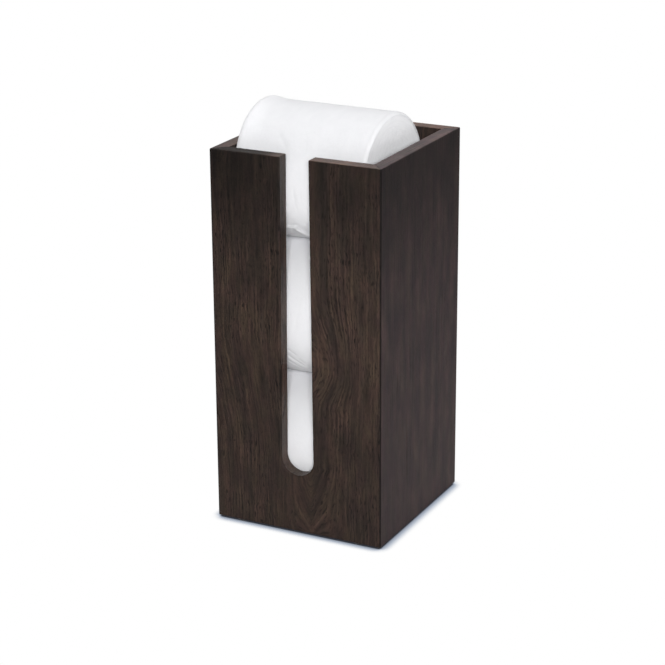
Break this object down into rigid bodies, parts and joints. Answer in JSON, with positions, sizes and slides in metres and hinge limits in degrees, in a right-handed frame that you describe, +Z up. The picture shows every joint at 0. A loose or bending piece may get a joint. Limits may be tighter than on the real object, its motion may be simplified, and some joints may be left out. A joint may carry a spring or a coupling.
{
  "type": "toilet roll holder",
  "caption": "Tall open-topped square box of dark stained oak with a round-ended front slot, holding toilet rolls stacked on their sides.",
  "frame": {"origin": "on the floor under the middle of the box, in the plane of the pads' undersides", "axes": "+Z up, -Y towards the slotted front board, +X to the right seen from the front"},
  "size_m": [0.14, 0.14, 0.3221],
  "materials": {
    "stained_oak": "satin",
    "stained_ply": "matte",
    "bare_beech": "matte",
    "tissue_paper": "matte",
    "tissue_sheet": "matte",
    "grey_card": "matte",
    "dark_felt": "matte"
  },
  "bodies": {
    "holder": {"front_panel": "stained_oak", "right_panel": "stained_oak", "back_panel": "stained_oak", "left_panel": "stained_oak", "base_panel": "stained_ply", "front_left_tongue": "bare_beech", "front_right_tongue": "bare_beech", "back_left_tongue": "bare_beech", "back_right_tongue": "bare_beech", "front_left_pad": "dark_felt", "front_right_pad": "dark_felt", "back_left_pad": "dark_felt", "back_right_pad": "dark_felt"},
    "bottom_roll": {"bottom_roll_paper": "tissue_paper", "bottom_roll_outer_sheet": "tissue_sheet", "bottom_roll_core": "grey_card"},
    "middle_roll": {"middle_roll_paper": "tissue_paper", "middle_roll_outer_sheet": "tissue_sheet", "middle_roll_core": "grey_card"},
    "top_roll": {"top_roll_paper": "tissue_paper", "top_roll_outer_sheet": "tissue_sheet", "top_roll_core": "grey_card"}
  },
  "joints": [
    {"name": "bottom_roll_lift", "type": "slide", "parent": "holder", "child": "bottom_roll", "axis": [0, 0, 1], "range_m": [0, 0.3]},
    {"name": "middle_roll_lift", "type": "slide", "parent": "bottom_roll", "child": "middle_roll", "axis": [0, 0, 1], "range_m": [0, 0.19]},
    {"name": "top_roll_lift", "type": "slide", "parent": "middle_roll", "child": "top_roll", "axis": [0, 0, 1], "range_m": [0, 0.09]}
  ]
}
